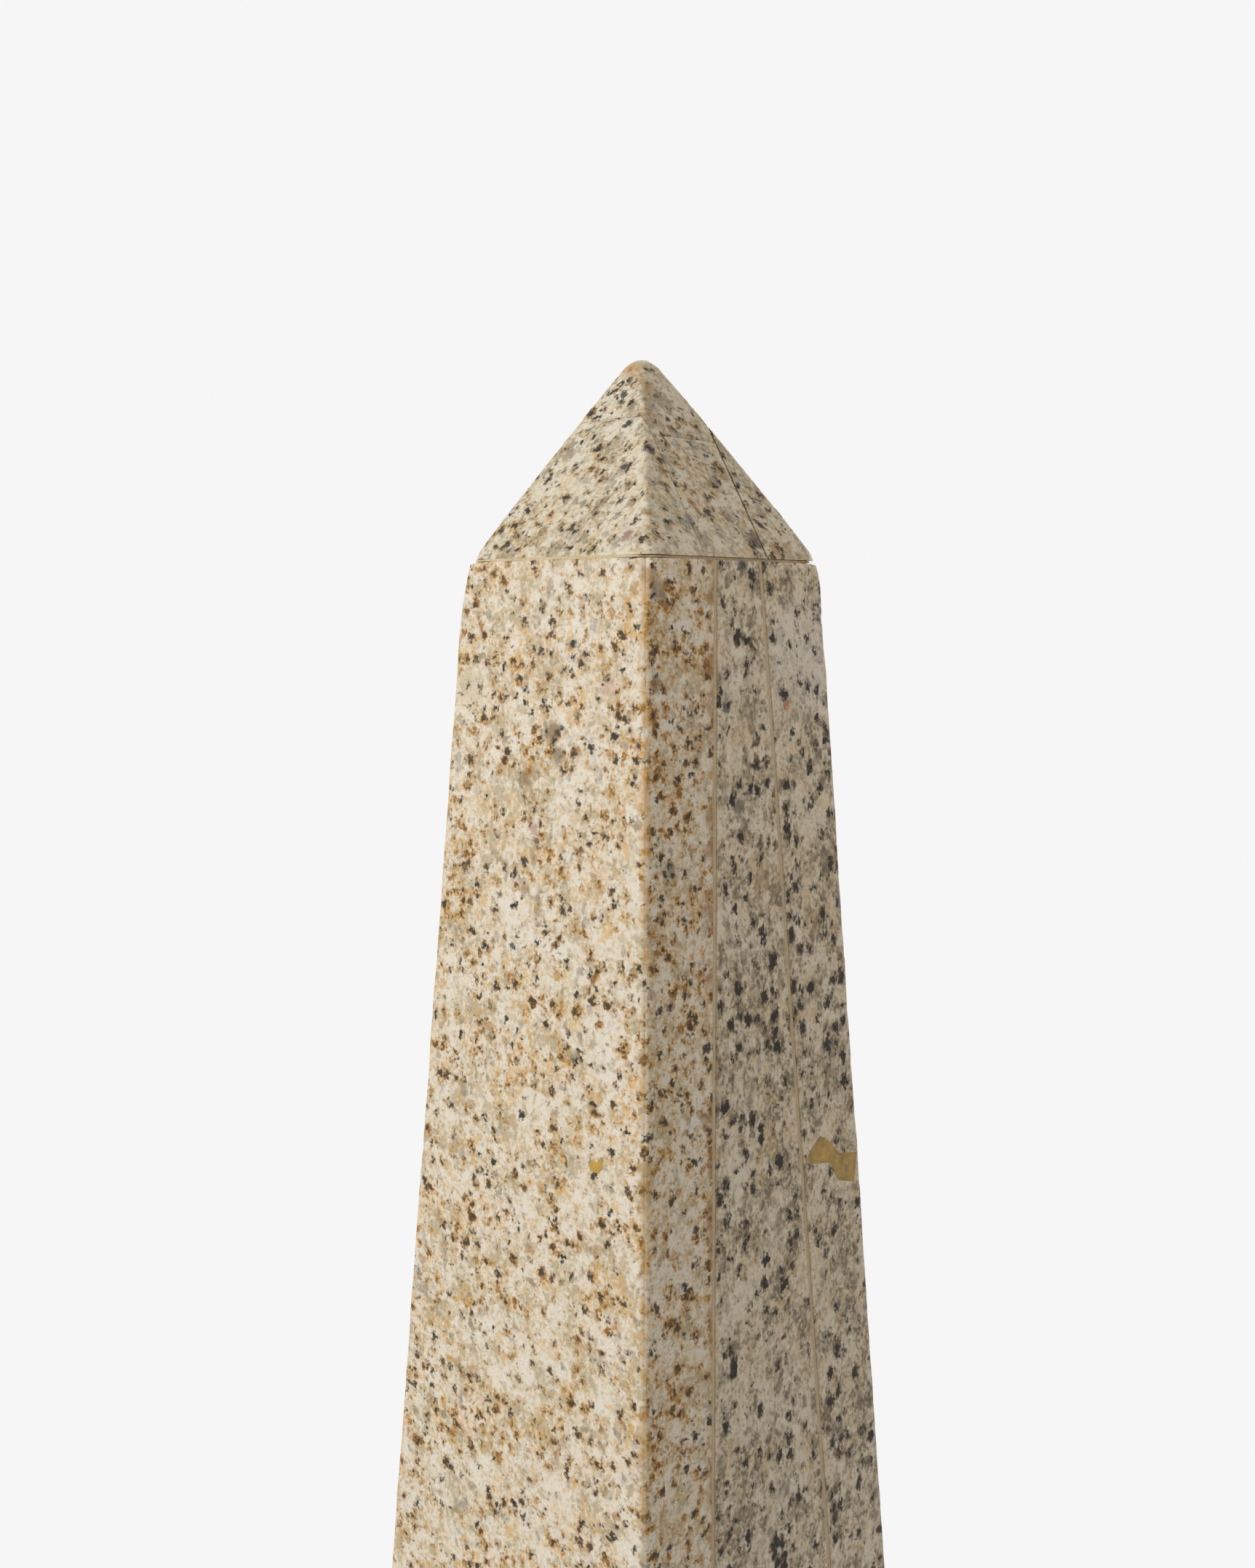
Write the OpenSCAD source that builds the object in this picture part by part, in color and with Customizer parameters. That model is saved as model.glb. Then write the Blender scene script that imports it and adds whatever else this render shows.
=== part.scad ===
// Granite obelisk: a battered shaft of two broad slabs with narrower panels set between
// their edges in mortar, under a pyramid cap that is pieced from slabs in the same way.
// Millimetres, +Z up, origin at the middle of the foot. The front slab faces -Y.

/* [Shaft] */
// Width of the shaft at the ground
base_w = 323; // [280:1:380]
// Width of the shaft at its top bed
top_w = 163; // [150:1:200]
// Height of the shaft from the ground to its top bed
shaft_h = 1430; // [900:10:2000]
// Thickness of the front and back slabs, square to their faces
slab_t = 59; // [40:1:64]
// Thickness of the side panels, square to their faces
panel_t = 50; // [30:1:64]
// Width of the flat on each eased corner of the shaft
arris_w = 4; // [1:0.5:8]
// Height over which the corners are worn back below the top bed
shoulder_h = 14; // [10:1:60]
// Depth that the corners are worn back at the top bed, along the diagonal
shoulder_wear = 3.5; // [0.5:0.5:6]

/* [Mortar] */
// Width of the upright joints between a slab and a panel
joint_w = 3; // [2:0.5:8]
// Thickness of the bed under the cap
bed_t = 2; // [1:0.5:6]
// Depth that the mortar lies behind the stone's face
mortar_recess = 0.3; // [0.2:0.1:2]

/* [Cap] */
// Distance that the foot of the cap stands in from the top of the shaft on each side
cap_set_back = 2; // [0:0.25:4]
// Height of the cap's faces if they ran on to a sharp point
cap_apex_h = 137; // [100:1:180]
// Thickness of the cap's front and back pieces at the bed
cap_slab_t = 50; // [30:1:60]
// Thickness of the cap's side pieces at the bed
cap_panel_t = 43; // [30:1:60]
// Width of the hairline seams between the cap's pieces
cap_seam = 0.4; // [0.2:0.1:0.8]
// Width of the flat on each eased hip of the cap
hip_w = 4; // [1:0.5:8]
// Height over which the hips are worn back above the bed
cap_foot_h = 30; // [5:1:40]
// Depth that the hips are worn back at the bed, along the diagonal
cap_foot_wear = 2; // [0.5:0.5:6]
// Radius of the worn tip, which runs smoothly into the hips
tip_r = 14.5; // [4:0.5:24]

/* [Resin fills] */
// Depth of both fills
fill_depth = 3; // [1:0.5:10]
// Width of the fill in the front slab
front_fill_w = 12; // [6:1:30]
// Height of the fill in the front slab
front_fill_h = 10; // [5:1:30]
// Distance of the front fill from the middle of the face
front_fill_x = 61; // [0:1:75]
// Distance of the front fill below the top bed
front_fill_drop = 359; // [60:1:800]
// Width of the fill in the right edge of the back slab
edge_fill_w = 54; // [20:1:55]
// Distance of the edge fill from the mortar beside it
edge_fill_inset = 1.5; // [0.5:0.5:4]
// Height of the fill in the right edge of the back slab
edge_fill_h = 37; // [15:1:60]
// Distance of the edge fill below the top bed
edge_fill_drop = 387; // [60:1:800]

/* [Hidden] */

warm_granite = "#d9c7a6";
grey_granite = "#b9ae9e";
cap_granite = "#cbbd9f";
mortar_colour = "#b0a084";
resin_colour = "#a98632";

base_half = base_w / 2;
top_half = top_w / 2;
cap_w = top_w - 2 * cap_set_back;
cap_half = cap_w / 2;
diagonal = sqrt(2);

// Slope of a shaft face from the upright, as run over rise, and the length of face per unit of height
batter = (base_half - top_half) / shaft_h;
lean = sqrt(1 + batter * batter);
batter_angle = atan(batter);

// Thicknesses measured level, through the leaning pieces
slab_run = slab_t * lean;
panel_run = panel_t * lean;
joint_run = joint_w * lean;
recess_run = mortar_recess * lean;

// Slope of a cap face and of a hip, as run over rise, and where the eased hips would meet
cap_slope = cap_half / cap_apex_h;
hip_slope = cap_slope * diagonal;
hip_angle = atan(hip_slope);
hip_apex_h = cap_apex_h - hip_w / 2 / hip_slope;
cap_z = shaft_h + bed_t;

// Heights above the bed of the worn tip's centre, of the ring where it meets the hips and of its top
tip_centre_h = hip_apex_h - tip_r / sin(hip_angle);
tip_ring_h = tip_centre_h + tip_r * sin(hip_angle);
cap_h = tip_centre_h + tip_r;

// Half the diagonal of the eased shaft and cap at their ends and where their wear begins
shaft_foot_reach = base_half * diagonal - arris_w / 2;
shaft_wear_reach = (top_half + batter * shoulder_h) * diagonal - arris_w / 2;
shaft_top_reach = top_half * diagonal - arris_w / 2 - shoulder_wear;
cap_foot_reach = cap_half * diagonal - hip_w / 2 - cap_foot_wear;
cap_wear_reach = (hip_apex_h - cap_foot_h) * hip_slope;
cap_top_reach = (hip_apex_h - cap_h) * hip_slope;

// Outlines of the two fills, as shares of their width and height from their middles
front_fill_shares = [
    [-0.5, -0.2], [-0.36, 0.08], [0.06, 0.12], [0.34, 0.5],
    [0.5, 0.36], [0.44, -0.18], [0.24, -0.5], [-0.33, -0.5]
];
edge_fill_shares = [
    [-0.5, 0.17], [-0.24, 0.5], [-0.1, 0.46], [0.16, 0.1], [0.5, 0.01],
    [0.47, -0.24], [0.43, -0.5], [0.12, -0.37], [-0.02, -0.01], [-0.44, 0.1]
];
$fn = 64;

// Prism along X from an outline drawn in Y and Z
module along_x() {
    rotate([90, 0, 90])
        linear_extrude(2 * base_w, center = true)
            children();
}

// Prism along Y from an outline drawn in X and Z
module along_y() {
    rotate([90, 0, 0])
        linear_extrude(2 * base_w, center = true)
            children();
}

// Shaft outline seen square on, drawn in by inset on each side
module shaft_outline(inset) {
    polygon([
        [inset - base_half, 0], [base_half - inset, 0],
        [top_half - inset, shaft_h], [inset - top_half, shaft_h]
    ]);
}

// Layer of the shaft seen from its edge, that leans with the face on the positive side
module shaft_layer(outer, inner) {
    polygon([
        [base_half - inner, 0], [base_half - outer, 0],
        [top_half - outer, shaft_h], [top_half - inner, shaft_h]
    ]);
}

// Four-cornered envelope turned to the diagonals, from a list of [reach, height] pairs
module corner_envelope(pairs) {
    right_side = [for (p = pairs) p];
    left_side = [for (i = [len(pairs) - 1 : -1 : 0]) [-pairs[i][0], pairs[i][1]]];
    rotate([0, 0, 45])
        intersection() {
            along_x() polygon(concat(right_side, left_side));
            along_y() polygon(concat(right_side, left_side));
        }
}

module shaft_corners() {
    corner_envelope([
        [shaft_foot_reach, 0], [shaft_wear_reach, shaft_h - shoulder_h], [shaft_top_reach, shaft_h]
    ]);
}

// Broad slab on the +Y side, with its edges cut to the batter of the side faces
module broad_slab() {
    intersection() {
        along_y() shaft_outline(0);
        along_x() shaft_layer(0, slab_run);
        shaft_corners();
    }
}

// Panel on the +X side, narrowing upwards between the two broad slabs
module side_panel() {
    intersection() {
        along_y() shaft_layer(0, panel_run);
        along_x() shaft_outline(slab_run + joint_run);
    }
}

// Mortar strip on the +X side, between the panel and the slab on the +Y side
module mortar_strip() {
    intersection() {
        along_y() shaft_layer(recess_run, panel_run);
        along_x() shaft_layer(slab_run, slab_run + joint_run);
    }
}

// Outline of a fill, sized and extruded to both sides of the face that it lies in
module fill_plug(shares, width, height) {
    rotate([90, 0, 0])
        linear_extrude(2 * fill_depth, center = true)
            polygon([for (s = shares) [s[0] * width, s[1] * height]]);
}

module front_plug() {
    translate([front_fill_x, -(top_half + batter * front_fill_drop), shaft_h - front_fill_drop])
        rotate([-batter_angle, 0, 0])
            fill_plug(front_fill_shares, front_fill_w, front_fill_h);
}

module edge_plug() {
    edge_half = top_half + batter * edge_fill_drop;
    fill_y = edge_half - slab_run + edge_fill_inset + edge_fill_w / 2;
    translate([edge_half, fill_y, shaft_h - edge_fill_drop])
        rotate([0, 0, 90])
            rotate([-batter_angle, 0, 0])
                fill_plug(edge_fill_shares, edge_fill_w, edge_fill_h);
}

// Pyramid of the cap, with eased hips and a rounded tip, from the bed up
module cap_form() {
    top = cap_half - cap_slope * cap_h;
    translate([0, 0, cap_z])
        intersection() {
            along_x() polygon([[-cap_half, 0], [cap_half, 0], [top, cap_h], [-top, cap_h]]);
            along_y() polygon([[-cap_half, 0], [cap_half, 0], [top, cap_h], [-top, cap_h]]);
            corner_envelope([[cap_foot_reach, 0], [cap_wear_reach, cap_foot_h], [cap_top_reach, cap_h]]);
            union() {
                translate([0, 0, tip_centre_h]) sphere(tip_r);
                translate([-cap_half, -cap_half, 0]) cube([cap_w, cap_w, tip_ring_h]);
            }
        }
}

// Upright block of the cap's full height, from one corner to another in plan
module cap_block(x0, y0, x1, y1) {
    translate([x0, y0, cap_z]) cube([x1 - x0, y1 - y0, cap_h]);
}

// Piece of the cap on the +Y side, cut off by an upright plane
module cap_broad_piece() {
    intersection() {
        cap_form();
        cap_block(-cap_half, cap_half - cap_slab_t, cap_half, cap_half);
    }
}

// Piece of the cap on the +X side, between the front and back pieces
module cap_side_piece() {
    reach_y = cap_half - cap_slab_t - cap_seam;
    intersection() {
        cap_form();
        cap_block(cap_half - cap_panel_t, -reach_y, cap_half, reach_y);
    }
}

module front_slab() {
    color(warm_granite)
        difference() {
            mirror([0, 1, 0]) broad_slab();
            front_plug();
        }
}

module back_slab() {
    color(grey_granite)
        difference() {
            broad_slab();
            edge_plug();
        }
}

module right_panel() {
    color(grey_granite) side_panel();
}

module left_panel() {
    color(grey_granite) mirror([1, 0, 0]) side_panel();
}

module front_right_mortar() {
    color(mortar_colour) mirror([0, 1, 0]) mortar_strip();
}

module back_right_mortar() {
    color(mortar_colour) mortar_strip();
}

module front_left_mortar() {
    color(mortar_colour) mirror([1, 0, 0]) mirror([0, 1, 0]) mortar_strip();
}

module back_left_mortar() {
    color(mortar_colour) mirror([1, 0, 0]) mortar_strip();
}

// Bed between shaft and cap, drawn in behind both and behind their worn corners
module cap_bed_mortar() {
    bed_half = min(top_half, cap_half) - mortar_recess;
    bed_reach = min(shaft_top_reach, cap_foot_reach) - mortar_recess;
    color(mortar_colour)
        translate([0, 0, shaft_h])
            intersection() {
                translate([-bed_half, -bed_half, 0]) cube([2 * bed_half, 2 * bed_half, bed_t]);
                corner_envelope([[bed_reach, 0], [bed_reach, bed_t]]);
            }
}

module cap_front_slab() {
    color(cap_granite) mirror([0, 1, 0]) cap_broad_piece();
}

module cap_back_slab() {
    color(cap_granite) cap_broad_piece();
}

module cap_right_panel() {
    color(cap_granite) cap_side_piece();
}

module cap_left_panel() {
    color(cap_granite) mirror([1, 0, 0]) cap_side_piece();
}

// Block that fills the middle of the cap and carries its tip
module cap_tip_block() {
    reach_x = cap_half - cap_panel_t - cap_seam;
    reach_y = cap_half - cap_slab_t - cap_seam;
    color(cap_granite)
        intersection() {
            cap_form();
            cap_block(-reach_x, -reach_y, reach_x, reach_y);
        }
}

// Fill in the front slab, level with its face
module front_resin_fill() {
    color(resin_colour)
        intersection() {
            mirror([0, 1, 0]) broad_slab();
            front_plug();
        }
}

// Fill in the edge of the back slab, level with its face
module edge_resin_fill() {
    color(resin_colour)
        intersection() {
            broad_slab();
            edge_plug();
        }
}

front_slab();
back_slab();
right_panel();
left_panel();
front_right_mortar();
back_right_mortar();
front_left_mortar();
back_left_mortar();
cap_bed_mortar();
cap_front_slab();
cap_back_slab();
cap_right_panel();
cap_left_panel();
cap_tip_block();
front_resin_fill();
edge_resin_fill();
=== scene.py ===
# %% [markdown]
# # A small granite obelisk, pieced from slabs
#
# The real object is sawn granite: two broad slabs with narrower panels set between their edges in
# mortar, under a pyramid cap that is pieced in the same way. It has stood outdoors for years, so its
# corners are worn round and rust has crept out of the dark mica in the stone.
#
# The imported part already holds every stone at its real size. This lesson loads it, makes a worn stone
# around each node, and spends most of its effort on the granite itself.

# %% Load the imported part
import math

import bmesh
import bpy
import numpy as np
from mathutils import Matrix, Vector, noise


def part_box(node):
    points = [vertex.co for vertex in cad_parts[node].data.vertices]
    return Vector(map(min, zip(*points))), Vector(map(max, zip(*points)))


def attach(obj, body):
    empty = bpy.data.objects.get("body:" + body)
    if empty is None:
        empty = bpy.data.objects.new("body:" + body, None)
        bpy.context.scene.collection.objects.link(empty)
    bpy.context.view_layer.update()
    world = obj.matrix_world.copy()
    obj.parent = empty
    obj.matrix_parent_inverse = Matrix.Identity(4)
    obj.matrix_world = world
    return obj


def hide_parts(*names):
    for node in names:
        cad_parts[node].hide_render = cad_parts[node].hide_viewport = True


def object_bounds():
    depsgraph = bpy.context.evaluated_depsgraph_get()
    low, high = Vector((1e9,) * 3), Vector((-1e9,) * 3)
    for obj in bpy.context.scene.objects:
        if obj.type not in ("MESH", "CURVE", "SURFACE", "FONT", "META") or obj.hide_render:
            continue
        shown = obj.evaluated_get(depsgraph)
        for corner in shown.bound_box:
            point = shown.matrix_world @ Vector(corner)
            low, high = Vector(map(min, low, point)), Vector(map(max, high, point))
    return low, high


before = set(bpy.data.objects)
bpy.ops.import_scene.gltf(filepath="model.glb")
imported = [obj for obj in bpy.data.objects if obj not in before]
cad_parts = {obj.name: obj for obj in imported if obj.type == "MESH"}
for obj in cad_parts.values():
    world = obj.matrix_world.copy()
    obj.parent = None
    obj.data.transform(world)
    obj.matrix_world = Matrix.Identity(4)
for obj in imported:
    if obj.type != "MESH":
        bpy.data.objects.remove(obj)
cad_low, cad_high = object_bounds()
MM = 0.001
bed_low, bed_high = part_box("cap_bed_mortar")
bed_z = (bed_low.z + bed_high.z) / 2
print("nodes:", len(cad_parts), "height:", round(cad_high.z, 4), "bed joint at:", round(bed_z, 4))

# %% [markdown]
# ## Camera
#
# The photograph looks at the front corner from just below the joint under the cap. A camera could be
# placed by eye, but the edges of the shaft, the cap's hips and the joints fix it: the angles below make
# all of them fall where the photograph has them. The frame is taller than it is wide, so Blender lays
# the sensor's 36 mm along the height.

# %% Camera
PHOTO_HEIGHT_PX = 2156
FOCAL_PX = 2400
SENSOR_MM = 36
AZIMUTH = math.radians(43.84)
PITCH_DOWN = math.radians(5.352)
YAW_LEFT = math.radians(0.457)
ROLL = math.radians(0.167)
CAMERA_DISTANCE = 1129.3 * MM
CAMERA_BELOW_BED = 37.5 * MM


def new_object(name, data):
    """A new object, linked into the scene."""
    thing = bpy.data.objects.new(name, data)
    bpy.context.scene.collection.objects.link(thing)
    return thing


outward = Vector((math.sin(AZIMUTH), -math.cos(AZIMUTH), 0))
sideways = Vector((math.cos(AZIMUTH), math.sin(AZIMUTH), 0))
upright = Vector((0, 0, 1))
level_view = -outward * math.cos(YAW_LEFT) - sideways * math.sin(YAW_LEFT)
right_hand = sideways * math.cos(YAW_LEFT) - outward * math.sin(YAW_LEFT)
view = level_view * math.cos(PITCH_DOWN) - upright * math.sin(PITCH_DOWN)
view_up = level_view * math.sin(PITCH_DOWN) + upright * math.cos(PITCH_DOWN)
camera_x = right_hand * math.cos(ROLL) + view_up * math.sin(ROLL)
camera_y = view_up * math.cos(ROLL) - right_hand * math.sin(ROLL)

camera = new_object("camera", bpy.data.cameras.new("camera"))
camera.data.sensor_width = SENSOR_MM
camera.data.lens = SENSOR_MM * FOCAL_PX / PHOTO_HEIGHT_PX
turn = Matrix((camera_x, camera_y, -view)).transposed()
camera.matrix_world = Matrix.LocRotScale(
    outward * CAMERA_DISTANCE + upright * (bed_z - CAMERA_BELOW_BED), turn, None)
bpy.context.scene.camera = camera
bpy.context.scene.view_settings.view_transform = "Standard"
print("lens:", round(camera.data.lens, 2), "mm, camera height:", round(camera.location.z, 3))

# %% [markdown]
# ## Helpers for materials
#
# Colours are written as sRGB hex, as a picture shows them, and one function turns them to the linear
# values that shaders work in. Another function adds a node: it sets the node up, and feeds each input
# with a value, a socket or the first output of another node. It knows shader nodes by their short names.

# %% Helpers for colours and nodes
def linear(hex_colour):
    """An sRGB hex colour as linear red, green, blue and alpha."""
    shares = [int(hex_colour[i:i + 2], 16) / 255 for i in (1, 3, 5)]
    return (*[c / 12.92 if c <= 0.04045 else ((c + 0.055) / 1.055) ** 2.4 for c in shares], 1.0)


def add(tree, kind, inputs=(), **settings):
    """Adds a node to a tree, with its settings, and fills its inputs by name or by number."""
    node = tree.nodes.new(kind if "Node" in kind else "ShaderNode" + kind)
    for name, value in settings.items():
        setattr(node, name, value)
    for key, value in dict(inputs).items():
        if isinstance(key, int):
            socket = node.inputs[key]
        else:
            socket = next(s for s in node.inputs if s.enabled and s.name == key)
        if isinstance(value, bpy.types.Node):
            value = next(s for s in value.outputs if s.enabled)
        if isinstance(value, bpy.types.NodeSocket):
            tree.links.new(value, socket)
        else:
            socket.default_value = value
    return node


def blank_material(name):
    """A material with an empty node tree."""
    material = bpy.data.materials.new(name)
    material.use_nodes = True
    material.node_tree.nodes.clear()
    return material, material.node_tree


print("white is", linear("#ffffff"))

# %% [markdown]
# ## Studio
#
# The photograph has an even pale ground and soft light from the left, so the front face is about twice
# as bright as the right one. A pale world lights every side, a broad lamp adds the rest to the front,
# and a small warm one lifts the upper part of the right face. A third lamp stands behind, for the sides
# that the photograph doesn't show. The world shows its pale grey only to the camera and to reflections.
# The floor is a round sheet that keeps the object's shadow and fades into that same grey at its rim.

# %% World and lamps
BACKGROUND = linear("#f6f6f6")
WORLD_LIGHT = 0.30
AIM = Vector((0, 0, 1.1))
LAMPS = {
    "front_lamp": (79, 2.2, "#ffffff", Vector((-1.15, -3.0, 2.75))),
    "side_lamp": (2.6, 0.8, "#fff3e2", Vector((1.1, 0.1, 2.0))),
    "back_lamp": (36, 2.2, "#ffffff", Vector((-1.1, 3.0, 2.4))),
}

world = bpy.data.worlds.new("studio")
bpy.context.scene.world = world
world.use_nodes = True
tree = world.node_tree
tree.nodes.clear()
ray = add(tree, "LightPath")
seen = add(tree, "Math", {0: ray.outputs["Is Camera Ray"], 1: ray.outputs["Is Glossy Ray"]},
           operation="ADD")
seen = add(tree, "Math", {0: seen, 1: ray.outputs["Is Transmission Ray"]}, operation="ADD", use_clamp=True)
soft = add(tree, "Background", {"Color": linear("#ffffff"), "Strength": WORLD_LIGHT})
pale = add(tree, "Background", {"Color": BACKGROUND, "Strength": 1.0})
both = add(tree, "MixShader", {0: seen, 1: soft, 2: pale})
add(tree, "OutputWorld", {"Surface": both})

for name, (watts, size, tint, spot) in LAMPS.items():
    lamp = new_object(name, bpy.data.lights.new(name, "AREA"))
    lamp.data.energy = watts
    lamp.data.size = size
    lamp.data.color = linear(tint)[:3]
    lamp.location = spot
    lamp.rotation_euler = (AIM - spot).to_track_quat("-Z", "Y").to_euler()
    print(name, watts, "W at", tuple(spot))

# %% Floor
FLOOR_RADIUS = 1.25
FADE_START, FADE_END = 0.4, 1.225
FLOOR_GLOW = 0.45
FLOOR_SIDES = 96
PAPER = linear("#f0efed")
SMOOTH = {"interpolation_type": "SMOOTHSTEP"}

# Matt white paper, which gives the eye a soft shadow and no horizon
floor_paper, tree = blank_material("pale_studio_paper")
place = add(tree, "TexCoord").outputs["Object"]
from_middle = add(tree, "VectorMath", {0: place}, operation="LENGTH").outputs["Value"]
rim = add(tree, "MapRange",
          {"Value": from_middle, "From Min": FADE_START, "From Max": FADE_END, "To Min": FLOOR_GLOW},
          **SMOOTH)
rim = add(tree, "Math", {0: rim, 1: add(tree, "LightPath").outputs["Is Camera Ray"]}, operation="MULTIPLY")
paper = add(tree, "BsdfDiffuse", {"Color": PAPER})
glow = add(tree, "Emission", {"Color": BACKGROUND, "Strength": 1.0})
faded = add(tree, "MixShader", {0: rim, 1: paper, 2: glow})
add(tree, "OutputMaterial", {"Surface": faded})

mesh = bpy.data.meshes.new("floor")
turns = [2 * math.pi * i / FLOOR_SIDES for i in range(FLOOR_SIDES)]
mesh.from_pydata([(FLOOR_RADIUS * math.cos(a), FLOOR_RADIUS * math.sin(a), 0) for a in turns],
                 [], [list(range(FLOOR_SIDES))])
mesh.materials.append(floor_paper)
floor = new_object("floor", mesh)
print("floor radius:", FLOOR_RADIUS)

# %% [markdown]
# ## Granite
#
# Granite is a solid mosaic of crystals, so its pattern has to run through the stone: every texture
# below reads Object coordinates, turned to millimetres, and a corner shows the same crystal on both of
# its faces. Each piece adds its own shift, because two slabs are never cut from the same place. A streak
# squeezes the coordinates in one direction, which draws the grains out along it. A slow noise, called
# drift, gathers mica and stains into some parts of a slab.

# %% Places and noises that every granite reads
NOISE_DETAIL = {"grain": 1.5, "cloud": 3.0, "fray": 3.0, "drift": 2.0}
BEND_DETAIL = 1.5
NOISE_ROUGHNESS = 0.55
# Nearly all values of a noise lie in this range
MOST_NOISE = {"From Min": 0.3, "From Max": 0.7}
BEND_SHARE = 1.4
SAWN_EDGE = {"From Min": 0.6, "From Max": 0.9}
CROWDING = {"From Min": 0.35, "From Max": 0.65, "To Min": 0.42, "To Max": 1.45}


def millimetres(tree):
    """The place on the object, in millimetres."""
    place = add(tree, "TexCoord").outputs["Object"]
    return add(tree, "VectorMath", {0: place, 1: (1 / MM,) * 3}, operation="MULTIPLY")


def stone_fields(tree, look):
    """The places and noises, by name, that a granite's colours are worked out from."""
    here = millimetres(tree)
    shift = add(tree, "Attribute", attribute_name="piece_shift").outputs["Vector"]
    mm = add(tree, "VectorMath", {0: here, 1: shift}, operation="ADD")
    along = add(tree, "VectorMath", {0: mm, 1: look["streak"]}, operation="DOT_PRODUCT")
    along = add(tree, "Math", {0: along.outputs["Value"], 1: -1.0}, operation="MULTIPLY")
    mm = add(tree, "VectorMath", {0: along, 1: look["streak"], 2: mm}, operation="MULTIPLY_ADD")
    field = {"here": here, "mm": mm}
    for key, detail in NOISE_DETAIL.items():
        texture = add(tree, "TexNoise",
                      {"Vector": mm, "Scale": 1 / look[key + "_mm"], "Detail": detail,
                       "Roughness": NOISE_ROUGHNESS})
        field[key] = add(tree, "SeparateColor", {0: texture.outputs["Color"]}).outputs

    # Places bent a little, so that no grain is a plain cell
    bend = add(tree, "TexNoise",
               {"Vector": mm, "Scale": 1 / look["bend_mm"], "Detail": BEND_DETAIL,
                "Roughness": NOISE_ROUGHNESS})
    bend = add(tree, "VectorMath", {0: bend.outputs["Color"], 1: (0.5,) * 3}, operation="SUBTRACT")
    field["bent"] = add(tree, "VectorMath",
                        {0: bend, 1: (look["bend_mm"] * BEND_SHARE,) * 3, 2: mm}, operation="MULTIPLY_ADD")

    # The slab's sawn edges, which show the stone from its side
    facing = add(tree, "SeparateXYZ", {0: add(tree, "NewGeometry").outputs["Normal"]})
    sawn = add(tree, "Math", {0: facing.outputs["X"]}, operation="ABSOLUTE")
    field["sawn"] = add(tree, "MapRange", {"Value": sawn, **SAWN_EDGE})

    # How ragged a grain's edge is, how far rust creeps and how crowded the mica lies
    field["ragged"] = add(
        tree, "MapRange",
        {"Value": field["fray"][0], "To Min": -look["ragged_mm"], "To Max": look["ragged_mm"]})
    field["creep"] = add(
        tree, "MapRange",
        {"Value": field["cloud"][0], **MOST_NOISE, "To Min": -look["creep_mm"], "To Max": look["creep_mm"]})
    crowd = add(tree, "MapRange", {"Value": field["drift"][1], **CROWDING})
    field["crowd"] = add(tree, "Math", {0: field["sawn"], 1: look["edge_mica"], 2: crowd},
                         operation="MULTIPLY_ADD")
    return field


print("noises:", ", ".join(NOISE_DETAIL))

# %% [markdown]
# ### Pale ground
#
# Feldspar and quartz make most of the stone. Noise alone would give clouds, and sharp cells would give
# terrazzo. Real grains lie between the two: each has one tone of its own, but light passes through its
# rim, so neighbours melt into each other. Smooth Voronoi cells do that, with a finer noise mixed in.

# %% Feldspar and quartz
MELTED_RIMS = 0.8
STAIN_GATHER = 0.8
STAINED = {"From Min": 0.94, "From Max": 1.28}
QUARTZ_FADE = 0.3


def pale_ground(tree, look, field):
    """Crystals and finer grains from grey to white, some stained amber and some of smoky quartz."""
    cells = add(tree, "TexVoronoi",
                {"Vector": field["bent"], "Scale": 1 / look["crystal_mm"], "Smoothness": MELTED_RIMS},
                feature="SMOOTH_F1")
    crystal = add(tree, "SeparateColor", {0: cells.outputs["Color"]}).outputs
    fine = [add(tree, "MapRange", {"Value": field["grain"][i], **MOST_NOISE}) for i in (0, 1)]
    tone = add(tree, "Mix", {"Factor": look["grainy"], "A": crystal[0], "B": fine[0]})
    slow = add(tree, "MapRange",
               {"Value": field["drift"][2], **MOST_NOISE, "To Min": -look["slow"], "To Max": look["slow"]})
    tone = add(tree, "Math", {0: tone, 1: slow}, operation="ADD")
    cream = add(tree, "MapRange",
                {"Value": tone, "From Min": look["grey_to"], "From Max": look["cream_from"]})
    white = add(tree, "MapRange",
                {"Value": tone, "From Min": look["cream_to"], "From Max": look["white_from"]})

    # Amber stain, gathered into some parts of the slab and of its own strength on the sawn edges
    amber = add(tree, "Mix", {"Factor": 0.5, "A": crystal[1], "B": fine[1]})
    amber = add(tree, "Math", {0: field["drift"][0], 1: STAIN_GATHER, 2: amber}, operation="MULTIPLY_ADD")
    amber = add(tree, "MapRange", {"Value": amber, **STAINED, "To Max": look["stain"]})
    edge = add(tree, "MapRange", {"Value": field["sawn"], "To Min": 1.0, "To Max": look["edge_stain"]})
    amber = add(tree, "Math", {0: amber, 1: edge}, operation="MULTIPLY")

    # Smoky quartz: whole crystals, with the fine shading of a glassy grain
    smoky = add(tree, "Mix", {"Factor": 0.5, "A": crystal[2], "B": field["cloud"][1]})
    smoky = add(tree, "MapRange",
                {"Value": smoky, "From Min": look["quartz_from"],
                 "From Max": look["quartz_from"] + QUARTZ_FADE, "To Max": look["quartz"]}, **SMOOTH)
    colour = linear(look["grey"])
    for tint, share in [("cream", cream), ("white", white), ("amber", amber), ("smoky", smoky)]:
        colour = add(tree, "Mix", {"Factor": share, "A": colour, "B": linear(look[tint])}, data_type="RGBA")
    return colour


print("the ground's crystals are melted by", MELTED_RIMS)

# %% [markdown]
# ### Mica and rust
#
# Black mica lies in the pale ground in ragged books, with finer flakes between them. Each point knows
# how deep it lies inside the nearest book, in millimetres, and that depth colours it: black inside,
# brown at the rim, then rust that fades into the ground.

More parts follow.
